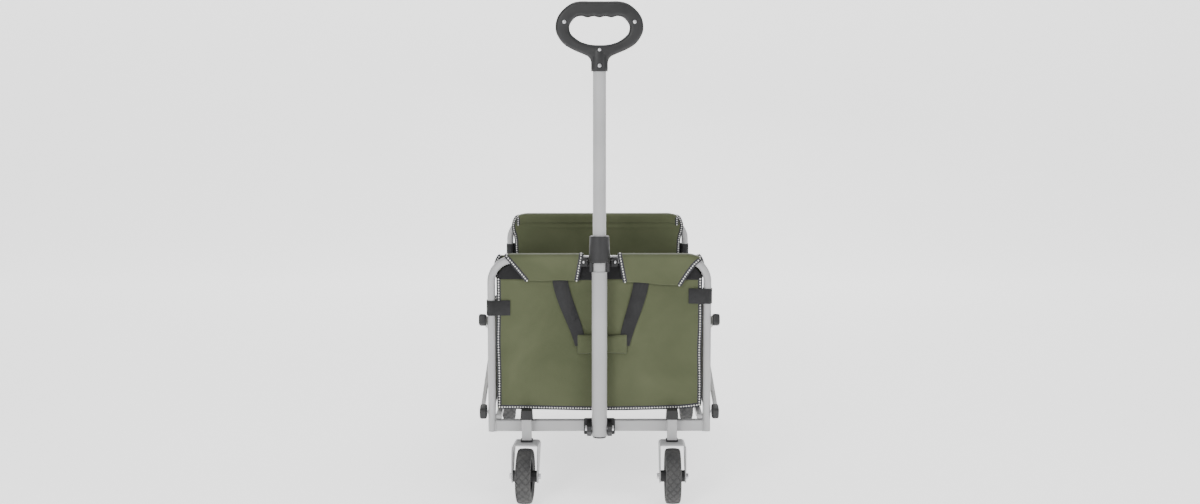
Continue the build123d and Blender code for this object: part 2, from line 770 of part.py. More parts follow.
def make_post_straps(y, heights):
    """Webbing loops round the two posts of a hoop, sewn to the panel."""
    outward = -1 if y < 0 else 1
    with BuildPart() as straps:
        for side, height in zip((-1, 1), heights):
            with BuildSketch(Plane((side * post_x, y, height))):
                RectangleRounded(tube_width + 2 * (air + webbing), tube_depth + 2 * (air + webbing), 10)
                RectangleRounded(tube_width + 2 * air, tube_depth + 2 * air, 8, mode=Mode.SUBTRACT)
                with Locations((-side * 26, outward * (half_depth + air + webbing / 2))):
                    Rectangle(48, webbing)
            extrude(amount=webbing_width)
    return straps.part


save(make_post_straps(front_y, (416.5, 443.5)), "front_post_straps")
save(make_post_straps(rear_y, (443.5, 443.5)), "rear_post_straps")

strap_end = sleeve_width / 2 + air


def make_carry_strap(face_y, outward):
    """The two tapering ends of a carry strap, from the panel's top down to the grip sleeve."""
    with BuildPart() as strap:
        for side in (-1, 1):
            with BuildSketch(endwise(face_y + (webbing if outward > 0 else 0))):
                with BuildLine():
                    Polyline(
                        (side * 71, 486),
                        (side * 105, 486),
                        (side * 66, sleeve_z + 14),
                        (side * strap_end, sleeve_z - 12),
                        (side * strap_end, sleeve_z + 22),
                        close=True,
                    )
                make_face()
            extrude(amount=webbing)
    return strap.part


def make_sleeve(face_y, outward):
    """The padded grip sleeve round the middle of a carry strap."""
    with BuildPart() as sleeve:
        with BuildSketch(across(-sleeve_width / 2, face_y + outward * sleeve_thickness / 2, sleeve_z)):
            Ellipse(sleeve_thickness / 2, sleeve_height / 2)
        extrude(amount=sleeve_width)
    return sleeve.part


front_strap_y = front_panel_y - air
save(make_carry_strap(front_strap_y - 0.6, -1), "front_carry_strap")
save(make_sleeve(front_strap_y, -1), "front_carry_sleeve")
rear_strap_y = rear_panel_face + air
save(make_carry_strap(rear_strap_y + 0.6, 1), "rear_carry_strap")
save(make_sleeve(rear_strap_y, 1), "rear_carry_sleeve")

side_panel_x = inner_half - air - panel_thickness
for side, name in ((-1, "left"), (1, "right")):
    with BuildPart() as side_panel:
        with BuildSketch(across(side * side_panel_x, middle_y, (panel_bottom + 5 + side_rim) / 2)):
            Rectangle(frame_length - 2 * (half_depth + webbing + 2 * air), side_rim - panel_bottom - 5)
        extrude(amount=side * panel_thickness)
    save(side_panel.part, f"side_panel_{name}")
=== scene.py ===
import json
from math import atan2, cos, pi, radians, sin, sqrt

import bmesh
import bpy
from mathutils import Matrix, Vector, noise


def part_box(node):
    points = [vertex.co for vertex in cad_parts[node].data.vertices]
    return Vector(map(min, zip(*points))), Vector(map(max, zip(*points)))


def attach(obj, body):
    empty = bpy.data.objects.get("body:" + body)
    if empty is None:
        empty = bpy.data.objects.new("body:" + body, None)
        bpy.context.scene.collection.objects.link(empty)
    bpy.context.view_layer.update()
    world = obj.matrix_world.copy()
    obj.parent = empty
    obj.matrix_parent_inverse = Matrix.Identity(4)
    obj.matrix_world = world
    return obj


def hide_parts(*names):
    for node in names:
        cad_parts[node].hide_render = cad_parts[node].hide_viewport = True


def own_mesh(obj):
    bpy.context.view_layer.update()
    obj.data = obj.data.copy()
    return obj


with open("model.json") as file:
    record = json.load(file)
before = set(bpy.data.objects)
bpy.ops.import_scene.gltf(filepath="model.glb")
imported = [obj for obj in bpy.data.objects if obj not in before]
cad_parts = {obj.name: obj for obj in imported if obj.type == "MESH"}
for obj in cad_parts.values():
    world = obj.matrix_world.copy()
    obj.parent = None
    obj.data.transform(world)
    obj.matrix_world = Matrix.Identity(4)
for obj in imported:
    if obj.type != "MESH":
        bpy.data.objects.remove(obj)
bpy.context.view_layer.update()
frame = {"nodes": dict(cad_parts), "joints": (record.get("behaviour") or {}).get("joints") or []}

# ---- the studio: camera, floor and soft light ----
# The wagon stands on a white sweep, seen from a little above hoop height in front of the handle. A
# broad light overhead, two panels beside and one behind leave a faint shadow under the wheels.
nodes = frame["nodes"]
mm = 0.001


def corners(node):
    """Lowest and highest corner of a CAD node, as vectors."""
    low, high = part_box(node)
    return Vector(low), Vector(high)


def middle_of(node):
    """Middle of a CAD node's box."""
    low, high = corners(node)
    return (low + high) / 2


front_y = middle_of("front_hoop").y
camera_away = 3.464
camera_height = 0.9837
look_down = 7.008
camera_data = bpy.data.cameras.new("camera")
camera_data.lens = 47.0
camera = bpy.data.objects.new("camera", camera_data)
camera.location = (-0.0208, front_y - camera_away, camera_height)
camera.rotation_euler = (radians(90 - look_down), 0, radians(-0.368))
bpy.context.scene.collection.objects.link(camera)
bpy.context.scene.camera = camera


def add_light(name, place, aim, size, power):
    """A square area light pointed at a place."""
    data = bpy.data.lights.new(name, "AREA")
    data.size = size
    data.energy = power
    lamp = bpy.data.objects.new(name, data)
    lamp.location = place
    lamp.rotation_euler = (Vector(aim) - Vector(place)).to_track_quat("-Z", "Y").to_euler()
    bpy.context.scene.collection.objects.link(lamp)


add_light("overhead", (0.2, -0.4, 3.2), (0, 0, 0.3), 3.0, 40)
add_light("left_panel", (-1.5, -3.6, 2.1), (0, 0, 0.4), 0.9, 58)
add_light("right_panel", (2.2, -3.2, 1.6), (0, 0, 0.4), 1.2, 20)
add_light("rear_panel", (0.3, 3.6, 2.2), (0, 0, 0.4), 2.4, 22)

world = bpy.data.worlds.new("studio")
world.use_nodes = True
world.node_tree.nodes["Background"].inputs["Color"].default_value = (1, 1, 1, 1)
world.node_tree.nodes["Background"].inputs["Strength"].default_value = 0.42
bpy.context.scene.world = world


def new_material(name, rough, metallic=0.0):
    """An empty principled material and the handles needed to wire it."""
    material = bpy.data.materials.new(name)
    material.use_nodes = True
    tree = material.node_tree
    shader = tree.nodes["Principled BSDF"]
    shader.inputs["Roughness"].default_value = rough
    shader.inputs["Metallic"].default_value = metallic
    return material, tree, shader


def place_noise(tree, scale, detail=3.0, distortion=0.0):
    """A noise texture in object space."""
    where = tree.nodes.new("ShaderNodeTexCoord")
    grain = tree.nodes.new("ShaderNodeTexNoise")
    grain.inputs["Scale"].default_value = scale
    grain.inputs["Detail"].default_value = detail
    grain.inputs["Distortion"].default_value = distortion
    tree.links.new(where.outputs["Object"], grain.inputs["Vector"])
    return grain


def vary_colour(tree, shader, dark, light, *noise_values):
    """Colour that drifts between two shades with a noise."""
    grain = place_noise(tree, *noise_values)
    ramp = tree.nodes.new("ShaderNodeValToRGB")
    ramp.color_ramp.elements[0].position = 0.32
    ramp.color_ramp.elements[1].position = 0.68
    ramp.color_ramp.elements[0].color = (*dark, 1)
    ramp.color_ramp.elements[1].color = (*light, 1)
    tree.links.new(grain.outputs["Fac"], ramp.inputs["Fac"])
    tree.links.new(ramp.outputs["Color"], shader.inputs["Base Color"])


def vary_roughness(tree, shader, low, high, *noise_values):
    """Roughness that drifts with a noise."""
    grain = place_noise(tree, *noise_values)
    spread = tree.nodes.new("ShaderNodeMapRange")
    spread.inputs["From Min"].default_value = 0.3
    spread.inputs["From Max"].default_value = 0.7
    spread.inputs["To Min"].default_value = low
    spread.inputs["To Max"].default_value = high
    tree.links.new(grain.outputs["Fac"], spread.inputs["Value"])
    tree.links.new(spread.outputs["Result"], shader.inputs["Roughness"])


def add_bump(tree, shader, height, strength, distance):
    """Surface relief from a height value, on top of any relief already there."""
    bump = tree.nodes.new("ShaderNodeBump")
    bump.inputs["Strength"].default_value = strength
    bump.inputs["Distance"].default_value = distance
    tree.links.new(height, bump.inputs["Height"])
    if shader.inputs["Normal"].links:
        tree.links.new(shader.inputs["Normal"].links[0].from_socket, bump.inputs["Normal"])
    tree.links.new(bump.outputs["Normal"], shader.inputs["Normal"])


def grain_bump(tree, shader, scale, detail, strength, distance):
    """Relief of a moulded, coated or rubbery surface, from a noise."""
    add_bump(tree, shader, place_noise(tree, scale, detail).outputs["Fac"], strength, distance)


bend_start = 3.0
bend_radius = 1.5
bend_steps = 8
sweep_profile = [(-6.0, 0.0)]
for step in range(bend_steps + 1):
    turn = step / bend_steps * pi / 2
    sweep_profile.append((bend_start + bend_radius * sin(turn), bend_radius * (1 - cos(turn))))
sweep_profile.append((bend_start + bend_radius, 5.0))
sweep_mesh = bpy.data.meshes.new("sweep")
sweep_mesh.from_pydata(
    [(x, y, z) for y, z in sweep_profile for x in (-6, 6)],
    [],
    [(2 * i, 2 * i + 1, 2 * i + 3, 2 * i + 2) for i in range(len(sweep_profile) - 1)],
)
sweep_mesh.shade_smooth()
sweep = bpy.data.objects.new("sweep", sweep_mesh)
bpy.context.scene.collection.objects.link(sweep)
paper, paper_tree, paper_shader = new_material("studio_paper", 0.9)
vary_colour(paper_tree, paper_shader, (0.9, 0.9, 0.9), (0.93, 0.93, 0.93), 1.2)
paper_shader.inputs["Emission Color"].default_value = (1, 1, 1, 1)
paper_shader.inputs["Emission Strength"].default_value = 1.3
sweep_mesh.materials.append(paper)


# ---- steel frame ----
# Oval and square steel tubes, bent, drilled and welded, then powder coated satin light grey. The
# coat is even, with a very fine orange-peel and a few dull scuffs.
def dress(node_names, material):
    """Give CAD nodes their finish."""
    for name in node_names:
        mesh = nodes[name].data
        mesh.materials.clear()
        mesh.materials.append(material)
        mesh.shade_smooth()
        mesh.set_sharp_from_angle(angle=radians(32))


powder_coat, tree, shader = new_material("grey_powder_coat", 0.38)
vary_colour(tree, shader, (0.385, 0.385, 0.388), (0.435, 0.435, 0.44), 9.0, 4.0)
vary_roughness(tree, shader, 0.34, 0.5, 30.0, 5.0, 0.6)
grain_bump(tree, shader, 900.0, 2.0, 0.06, 0.0004)
shader.inputs["Coat Weight"].default_value = 0.15
shader.inputs["Coat Roughness"].default_value = 0.25
dress(
    [
        "front_hoop", "rear_hoop", "front_cross_bar", "rear_cross_bar", "caster_posts",
        "side_bars_outer", "side_bars_inner", "floor_rails_front", "floor_rails_rear",
        "caster_fork_left", "caster_fork_right", "rear_axle_brackets",
        "handle_outer_tube", "handle_inner_tube",
    ],
    powder_coat,
)


def new_object(name, verts, faces, material, body):
    """A mesh piece with its finish, riding on a body."""
    mesh = bpy.data.meshes.new(name)
    mesh.from_pydata([tuple(v) for v in verts], [], faces)
    mesh.validate()
    mesh.shade_smooth()
    mesh.materials.append(material)
    piece = bpy.data.objects.new(name, mesh)
    bpy.context.scene.collection.objects.link(piece)
    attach(piece, body)
    return piece


def wall_faces(rings, sides):
    """Faces between rings of equally many points, ring after ring."""
    faces = []
    for i in range(rings - 1):
        for k in range(sides):
            a = i * sides + k
            b = i * sides + (k + 1) % sides
            faces.append((a, b, b + sides, a + sides))
    return faces


def loft(rings):
    """A skin over rings of points, closed at both ends."""
    sides = len(rings[0])
    verts = [point for ring in rings for point in ring]
    faces = wall_faces(len(rings), sides)
    faces.append(tuple(range(sides))[::-1])
    faces.append(tuple((len(rings) - 1) * sides + k for k in range(sides)))
    return verts, faces


def join_parts(parts):
    """Several (verts, faces) pairs as one."""
    verts = []
    faces = []
    for part_verts, part_faces in parts:
        start = len(verts)
        verts += part_verts
        faces += [tuple(start + i for i in face) for face in part_faces]
    return verts, faces


def round_steps(sides):
    """Cosine and sine at even steps round a circle."""
    return [(cos(2 * pi * k / sides), sin(2 * pi * k / sides)) for k in range(sides)]


def weld_bead(start, end, radius, seed):
    """A short rippled weld bead between two points."""
    start, end = Vector(start), Vector(end)
    ripple_pitch = 0.0016
    steps = max(6, int((end - start).length / ripple_pitch))
    along = (end - start).normalized()
    up = Vector((1, 0, 0)) if abs(along.z) > 0.9 else Vector((0, 0, 1))
    side = along.cross(up).normalized()
    rise = side.cross(along).normalized()
    rings = []
    for i in range(steps + 1):
        t = i / steps
        ripple = 0.82 + 0.18 * abs(sin(t * steps * 1.3 + seed))
        thick = radius * ripple * (0.35 + 0.65 * min(1, 6 * min(t, 1 - t) + 0.2))
        centre = start.lerp(end, t)
        rings.append([centre + thick * (side * c + rise * s) for c, s in round_steps(8)])
    return loft(rings)


for end, body in (("front", "front_frame"), ("rear", "rear_frame")):
    low, high = corners(f"{end}_cross_bar")
    beads = []
    for x in (low.x, high.x):
        for y in (low.y, high.y):
            beads.append(weld_bead((x, y, low.z + 2 * mm), (x, y, high.z - 2 * mm), 1.9 * mm, x * 90))
        for z in (low.z, high.z):
            seed = high.y * 70
            beads.append(weld_bead((x, low.y + 2 * mm, z), (x, high.y - 2 * mm, z), 1.9 * mm, seed))
    bar_welds = new_object(f"{end}_welds", *join_parts(beads), powder_coat, body)

post_low, post_high = corners("caster_posts")
bar_low, bar_high = corners("front_cross_bar")
post_size = post_high.y - post_low.y
beads = []
for side in (-1, 1):
    outer = post_high.x if side > 0 else post_low.x
    for x in (outer, outer - side * post_size):
        foot = (x, post_high.y, bar_low.z + 1 * mm)
        head = (x, post_high.y, bar_high.z - 1 * mm)
        beads.append(weld_bead(foot, head, 2 * mm, x))
caster_welds = new_object("caster_post_welds", *join_parts(beads), powder_coat, "front_frame")

# ---- bolts, pins and rivets ----
# Headed steel pins, bolts and rivets, zinc plated, bright with a faint brushed haze. They hold the
# bars, wheels and handle to the frame, and most of them are pivots.
zinc, tree, shader = new_material("zinc_plate", 0.34, 1.0)
vary_colour(tree, shader, (0.52, 0.52, 0.54), (0.7, 0.7, 0.71), 60.0, 4.0)
vary_roughness(tree, shader, 0.25, 0.45, 220.0, 3.0)
grain_bump(tree, shader, 500.0, 3.0, 0.1, 0.0003)
dress(
    [
        "front_pivot_bolts", "rear_bolts", "cross_rivets", "centre_hinge_rod", "handle_pivot_bolt",
        "caster_axle_left", "caster_axle_right",
    ],
    zinc,
)


def rivet_head(centre, outward, radius, height):
    """A domed rivet head on a surface that faces outward."""
    centre = Vector(centre)
    outward = Vector(outward).normalized()
    across = outward.orthogonal().normalized()
    other = outward.cross(across)
    rings = 5
    sides = 20
    verts = []
    for ring in range(rings):
        lift = ring / rings * pi / 2
        foot = centre + outward * height * sin(lift)
        reach = cos(lift) * radius
        verts += [foot + reach * (across * c + other * s) for c, s in round_steps(sides)]
    verts.append(centre + outward * height)
    faces = wall_faces(rings, sides)
    top = (rings - 1) * sides
    for k in range(sides):
        faces.append((top + k, top + (k + 1) % sides, len(verts) - 1))
    faces.append(tuple(range(sides))[::-1])
    return verts, faces


clip_low, clip_high = corners("handle_clip_rivets")
clip_z = (clip_low.z + clip_high.z) / 2
heads = []
for x in (clip_low.x + 3.2 * mm, clip_high.x - 3.2 * mm):
    heads.append(rivet_head((x, clip_high.y, clip_z), (0, -1, 0), 3.4 * mm, 1.8 * mm))
clip_rivets = new_object("clip_rivet_heads", *join_parts(heads), zinc, "front_frame")
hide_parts("handle_clip_rivets")

nodes["grip_rivets"].data.materials.clear()
nodes["grip_rivets"].data.materials.append(zinc)

# ---- moulded black plastic ----
# Caps, bushes, clip and handle bracket are moulded nylon with a fine spark-eroded grain that goes
# shinier where hands and straps rub it.
black_plastic, tree, shader = new_material("black_plastic", 0.5)
vary_colour(tree, shader, (0.010, 0.010, 0.011), (0.018, 0.018, 0.019), 14.0, 4.0)
vary_roughness(tree, shader, 0.42, 0.6, 40.0, 4.0)
grain_bump(tree, shader, 1400.0, 2.0, 0.15, 0.0003)
dress(
    [
        "caster_post_caps", "caster_bushes", "handle_bracket", "handle_clip", "handle_end_plug",
        "front_rim_left", "front_rim_right", "rear_rim_left", "rear_rim_right",
    ],
    black_plastic,
)

# ---- side bar caps ----
# The crossing side bars end in moulded nylon caps with heavily rounded edges. Each cap is pressed
# over the end of its bar, and the pin of that end goes through both.
def joint(name):
    """A joint of the record, by name."""
    return next(j for j in frame["joints"] if j["name"] == name)


def soft(value, power):
    """A sine or cosine pushed outward, so that a ring of them comes out nearly square."""
    return (1 if value >= 0 else -1) * abs(value) ** power


def rounded_block(centre, along, size):
    """A block with heavily rounded edges, its length along a direction in the wagon's side view."""
    across = Vector((1, 0, 0))
    rise = along.cross(across).normalized()
    slices = 22
    squareness = 0.42
    rings = []
    for i in range(1, slices):
        tip = pi * i / slices
        middle = centre + along * soft(cos(tip), squareness) * size[0] / 2
        reach = soft(sin(tip), squareness)
        ring = []
        for c, s in round_steps(36):
            wide = reach * soft(c, squareness) * size[1] / 2
            tall = reach * soft(s, squareness) * size[2] / 2
            ring.append(middle + across * wide + rise * tall)
        rings.append(ring)
    return loft(rings)


for name, body, joint_name in (
    ("outer", "bars_front_hinged", "side_bars_swing_front"),
    ("inner", "bars_rear_hinged", "side_bars_swing_rear"),
):
    low, high = corners(f"side_bar_caps_{name}")
    pivot = Vector(joint(joint_name)["pos_m"])
    far = Vector((0, low.y + high.y - pivot.y, low.z + high.z - pivot.z))
    bar = (far - pivot).normalized()
    blocks = []
    for side in (-1, 1):
        for end, way in ((pivot, 1), (far, -1)):
            middle = end + way * bar * 2 * mm + Vector((side * (high.x - 8.5 * mm), 0, 0))
            blocks.append(rounded_block(middle, bar, (34 * mm, 17 * mm, 26 * mm)))
    rounded = new_object(f"side_bar_caps_{name}_moulded", *join_parts(blocks), black_plastic, body)
    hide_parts(f"side_bar_caps_{name}")

# ---- tyres ----
# Solid rubber tyres with a raised diamond tread and ribbed shoulders, dusty dark grey. Each is
# moulded as a ring and stretched over its rim.
tyre_rubber, tree, shader = new_material("tyre_rubber", 0.75)
vary_colour(tree, shader, (0.042, 0.042, 0.043), (0.075, 0.074, 0.073), 35.0, 5.0)
grain_bump(tree, shader, 800.0, 3.0, 0.25, 0.0005)


def make_tyre(name, body, turn):
    """A tyre with carved diamond blocks, built round the CAD tyre's place."""
    low, high = corners(name)
    radius = (high.z - low.z) / 2
    half = 17 * mm
    bore = 44.1 * mm
    groove = 2.2 * mm
    tread = 5.5 * mm
    slant = 1.1
    profile = [(-13, 0), (-17, 6), (-17, 11), (-16, 14.5), (-13, 16.6), (-9, 17.4), (-4.5, 17.8), (0, 18)]
    profile = [(x * mm, bore + (radius - bore) * h / 18) for x, h in profile]
    profile += [(-x, r) for x, r in profile[-2::-1]]
    rows = []
    for (x, r), (next_x, next_r) in zip(profile, profile[1:]):
        for t in (0, 1 / 3, 2 / 3):
            rows.append((x + (next_x - x) * t, r + (next_r - r) * t))
    rows.append(profile[-1])
    steps = 168
    blocks = 21
    verts = []
    for x, r in rows:
        for s in range(steps):
            a = 2 * pi * s / steps
            depth = 0
            if r > radius - tread:
                phase = blocks * a / (2 * pi)
                one = abs((phase + x / half * slant) % 1 - 0.5)
                two = abs((phase - x / half * slant) % 1 - 0.5)
                cut = max(0, 1 - min(0.5 - one, 0.5 - two) / 0.085)
                depth = groove * min(1, cut * 1.6)
            verts.append((x, (r - depth) * sin(a), (r - depth) * cos(a)))
    faces = []
    for a, b, c, d in wall_faces(len(rows) + 1, steps):
        faces.append((a, d % len(verts), c % len(verts), b))
    spin = Matrix.Translation((low + high) / 2) @ Matrix.Rotation(turn, 4, "Z")
    verts = [spin @ Vector(v) for v in verts]
    tyre = new_object(f"{name}_treaded", verts, faces, tyre_rubber, body)
    tyre.data.set_sharp_from_angle(angle=radians(40))
    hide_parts(name)


left_axis = joint("wheel_spin_front_left")["axis"]
left_turn = atan2(left_axis[1], left_axis[0])
for name, body, turn in (
    ("front_tyre_left", "wheel_front_left", left_turn),
    ("front_tyre_right", "wheel_front_right", 0),
    ("rear_tyre_left", "wheel_rear_left", 0),
    ("rear_tyre_right", "wheel_rear_right", 0),
):
    make_tyre(name, body, turn)

# ---- pull handle ----
# Two telescoping steel tubes. The dark grey collar is a moulded clamp with a spring button behind,
# and the grip is a closed loop of two moulded halves riveted together.
grip_plastic, tree, shader = new_material("dark_grey_plastic", 0.48)
vary_colour(tree, shader, (0.011, 0.011, 0.012), (0.018, 0.018, 0.019), 12.0, 4.0)
vary_roughness(tree, shader, 0.4, 0.56, 50.0, 4.0)
grain_bump(tree, shader, 1200.0, 2.0, 0.18, 0.0003)
dress(["handle_collar", "lock_button"], grip_plastic)

shell_high = corners("grip_front_shell")[1]
grip_y = shell_high.y
grip_top = shell_high.z
grip_depth = 27 * mm


def rounded_path(points, steps):
    """A smooth closed outline through points, by Catmull-Rom spans."""
    count = len(points)
    path = []
    for i in range(count):
        p0, p1, p2, p3 = (Vector(points[(i + k) % count]) for k in (-1, 0, 1, 2))
        for s in range(steps):
            t = s / steps
            path.append(
                0.5 * ((2 * p1) + (p2 - p0) * t + (2 * p0 - 5 * p1 + 4 * p2 - p3) * t * t
                       + (3 * p1 - p0 - 3 * p2 + p3) * t ** 3)
            )
    return path


def both_sides(right_half):
    """Mirror the right half of an outline, given from top centre to bottom centre."""
    left = [(-x, z) for x, z in reversed(right_half) if abs(x) > 1e-6]
    return right_half + left


outer_right = [
    (0, 0), (22, 0), (42, 0), (60, -4.3), (78, -17), (90.5, -33.7), (95, -53), (92, -70.6), (79, -90),
    (60, -102.5), (37, -112.5), (25.5, -118), (19.5, -126), (18, -136), (17.8, -146), (12, -147.5),
    (0, -147.5),
]
inner_right = [
    (0, -34.4), (13, -32), (26, -34.4), (39, -31.4), (50, -33.8), (58.5, -41), (64, -50), (65, -58),
    (62.5, -68), (56, -75.5), (46, -83), (36, -88), (20, -92.3), (0, -93.6),
]
outer_path = rounded_path([(x * mm, z * mm) for x, z in both_sides(outer_right)], 6)
inner_path = rounded_path([(x * mm, z * mm) for x, z in both_sides(inner_right)], 6)
grip_curve = bpy.data.curves.new("grip_outline", "CURVE")
grip_curve.dimensions = "2D"
grip_curve.fill_mode = "BOTH"
grip_bevel = 7.5 * mm
for path in (outer_path, inner_path):
    spline = grip_curve.splines.new("POLY")
    spline.points.add(len(path) - 1)
    spline.use_cyclic_u = True
    for point, place in zip(spline.points, path):
        point.co = (place.x, place.y, 0, 1)
grip_curve.extrude = grip_depth / 2 - grip_bevel
grip_curve.bevel_depth = grip_bevel
grip_curve.bevel_resolution = 6
grip_curve.offset = -grip_bevel
grip_blank = bpy.data.objects.new("grip_blank", grip_curve)
bpy.context.scene.collection.objects.link(grip_blank)
bpy.context.view_layer.update()
grip_solid = bpy.data.meshes.new_from_object(grip_blank.evaluated_get(bpy.context.evaluated_depsgraph_get()))
bpy.data.objects.remove(grip_blank)
stand_up = Matrix.Translation((0, grip_y, grip_top)) @ Matrix.Rotation(pi / 2, 4, "X")
for node, facing in (("grip_front_shell", -1), ("grip_rear_shell", 1)):
    work = bmesh.new()
    work.from_mesh(grip_solid)
    work.transform(stand_up)
    bmesh.ops.remove_doubles(work, verts=work.verts, dist=1e-5)
    cut = bmesh.ops.bisect_plane(
        work,
        geom=work.verts[:] + work.edges[:] + work.faces[:],
        plane_co=(0, grip_y + facing * 0.15 * mm, 0),
        plane_no=(0, -facing, 0),
        clear_outer=True,
    )
    rim = [e for e in cut["geom_cut"] if isinstance(e, bmesh.types.BMEdge)]
    bmesh.ops.triangle_fill(work, edges=rim, use_beauty=True)
    bmesh.ops.recalc_face_normals(work, faces=work.faces)
    mesh = bpy.data.meshes.new(f"{node}_moulded")
    work.to_mesh(mesh)
    work.free()
    mesh.shade_smooth()
    mesh.set_sharp_from_angle(angle=radians(35))
    mesh.materials.append(grip_plastic)
    shell = bpy.data.objects.new(f"{node}_moulded", mesh)
    bpy.context.scene.collection.objects.link(shell)
    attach(shell, "handle_top")
    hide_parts(node)

socket_foot = grip_top - 150 * mm
rings = []
for height, half_x, half_y in (
    (0, 18.3, 15.6), (1.2, 18.3, 17.4), (8, 18.3, 17.4), (20, 18.3, 17.4),
    (30, 18.3, 17.334), (37, 17.85, 14.98), (43, 16.95, 14.476), (48, 16.2, 13.72),
):
    ring = []
    for c, s in round_steps(40):
        x = half_x * mm * soft(c, 0.75)
        y = half_y * mm * soft(s, 0.75)
        ring.append((x, grip_y + y, socket_foot + height * mm))
    rings.append(ring)
socket = new_object("grip_socket", *loft(rings), grip_plastic, "handle_top")
socket.data.set_sharp_from_angle(angle=radians(45))

rivets_low, rivets_high = corners("grip_rivets")
rivet_radius = 2.5 * mm
side_x = rivets_high.x - rivet_radius
side_z = rivets_high.z - rivet_radius
low_z = rivets_low.z + rivet_radius
neck_z = grip_top - 137.5 * mm
face = grip_depth / 2 - 0.4 * mm
neck_face = 17.3 * mm
heads = []
for x, z, out in ((-side_x, side_z, face), (side_x, side_z, face), (0, low_z, face), (0, neck_z, neck_face)):
    for facing in (-1, 1):
        heads.append(rivet_head((x, grip_y + facing * out, z), (0, facing, 0), 4.2 * mm, 1.7 * mm))
grip_heads = new_object("grip_rivet_heads", *join_parts(heads), zinc, "handle_top")

# ---- basket cloth ----
# Coated polyester, sewn as two end panels, two side panels and a floor, olive outside and in. Every
# free edge is bound with dark grey tape that is held by a coarse pale stitch.
def woven(name, dark, light, axes, pitch=1.1 * mm, relief=0.25):
    """Plain-woven coated cloth whose threads run along two of the object's axes."""
    material, tree, shader = new_material(name, 0.78)
    vary_colour(tree, shader, dark, light, 7.0, 5.0, 0.4)
    where = tree.nodes.new("ShaderNodeTexCoord")
    split = tree.nodes.new("ShaderNodeSeparateXYZ")
    tree.links.new(where.outputs["Object"], split.inputs["Vector"])

    def calculate(operation, first):
        node = tree.nodes.new("ShaderNodeMath")
        node.operation = operation
        tree.links.new(first, node.inputs[0])
        return node

    waves = []
    for axis in axes:
        scale = calculate("MULTIPLY", split.outputs[axis])
        scale.inputs[1].default_value = 2 * pi / pitch
        waves.append(calculate("SINE", scale.outputs[0]).outputs[0])
    weave = calculate("MULTIPLY", waves[0])
    tree.links.new(waves[1], weave.inputs[1])
    add_bump(tree, shader, weave.outputs[0], relief, 0.00025)
    add_bump(tree, shader, place_noise(tree, 45.0, 4.0, 0.5).outputs["Fac"], 0.12, 0.002)
    shader.inputs["Sheen Weight"].default_value = 0.12
    shader.inputs["Sheen Roughness"].default_value = 0.5
    shader.inputs["Specular IOR Level"].default_value = 0.3
    return material


olive_dark = (0.066, 0.077, 0.036)
olive_light = (0.094, 0.106, 0.054)
olive_ends = woven("olive_cloth_ends", olive_dark, olive_light, ("X", "Z"))
olive_sides = woven("olive_cloth_sides", olive_dark, olive_light, ("Y", "Z"))
black_cloth = woven("black_lining_cloth", (0.006, 0.006, 0.0065), (0.012, 0.012, 0.013), ("X", "Z"))
black_floor = woven("black_floor_cloth", (0.015, 0.015, 0.016), (0.028, 0.028, 0.03), ("X", "Y"))
grey_dark = (0.028, 0.028, 0.033)
grey_light = (0.048, 0.048, 0.055)
grey_tape = woven("grey_binding_tape", grey_dark, grey_light, ("X", "Z"), 1.6 * mm, 0.5)
pale_thread, tree, shader = new_material("pale_thread", 0.7)
vary_colour(tree, shader, (0.72, 0.72, 0.69), (0.86, 0.86, 0.83), 300.0, 2.0)
grain_bump(tree, shader, 2500.0, 2.0, 0.4, 0.0003)


def rumple(x, z, seed):
    """Soft random folds of handled cloth, in metres."""
    broad = noise.noise(Vector((x * 5.0, z * 5.0, seed)))
    medium = noise.noise(Vector((x * 14.0 + 3 * broad, z * 11.0, seed + 7.3)))
    fine = noise.noise(Vector((x * 34.0, z * 30.0, seed + 3.1)))
    return mm * (2.4 * broad + 1.3 * medium + 0.45 * fine)


def creases(x, z, seed):
    """A few long shallow folds that run slantwise to the corners, in metres."""
    slant = 0.75 * x + 0.65 * z if x < 0 else -0.6 * x + 0.8 * z
    wander = noise.noise(Vector((x * 4, z * 4, seed)))
    ridge = noise.noise(Vector((slant * 19.0 + wander * 1.5, (x * 0.7 - z * 0.4) * 3.5, seed + 11.0)))
    return 1.9 * mm * ridge


def grid_faces(columns, rows):
    """Faces of a grid of points, row after row."""
    faces = []
    for j in range(rows):
        for i in range(columns):
            a = j * (columns + 1) + i
            faces.append((a, a + 1, a + columns + 2, a + columns + 1))
    return faces


def cloth_grid(name, point_at, columns, rows, thickness, material, body):
    """A sheet of cloth from a function of (u, v), given its thickness."""
    verts = [point_at(i / columns, j / rows) for j in range(rows + 1) for i in range(columns + 1)]
    sheet = new_object(name, verts, grid_faces(columns, rows), material, body)
    shell = sheet.modifiers.new("thickness", "SOLIDIFY")
    shell.thickness = thickness
    shell.offset = 0
    return sheet


def spaced(points, pitch):
    """Points an even distance apart along a path, with the direction of travel at each."""
    points = [Vector(p) for p in points]
    lengths = [0.0]
    for a, b in zip(points, points[1:]):
        lengths.append(lengths[-1] + (b - a).length)
    count = max(2, int(round(lengths[-1] / pitch)))
    found = []
    k = 0
    for i in range(count + 1):
        goal = lengths[-1] * i / count
        while k < len(points) - 2 and lengths[k + 1] < goal:
            k += 1
        span = lengths[k + 1] - lengths[k]
        t = (goal - lengths[k]) / span if span else 0
        found.append((points[k].lerp(points[k + 1], t), (points[k + 1] - points[k]).normalized()))
    return found


def tape_sides(along, facing, across):
    """Directions across the tape and out of its face, from its facing or from the way across."""
    side = Vector(across) - along * along.dot(Vector(across)) if across else along.cross(Vector(facing))
    side.normalize()
    return side, side.cross(along).normalized()


tape_width = 9.5 * mm
tape_thickness = 2.4 * mm
stitch_pitch = 5.9 * mm


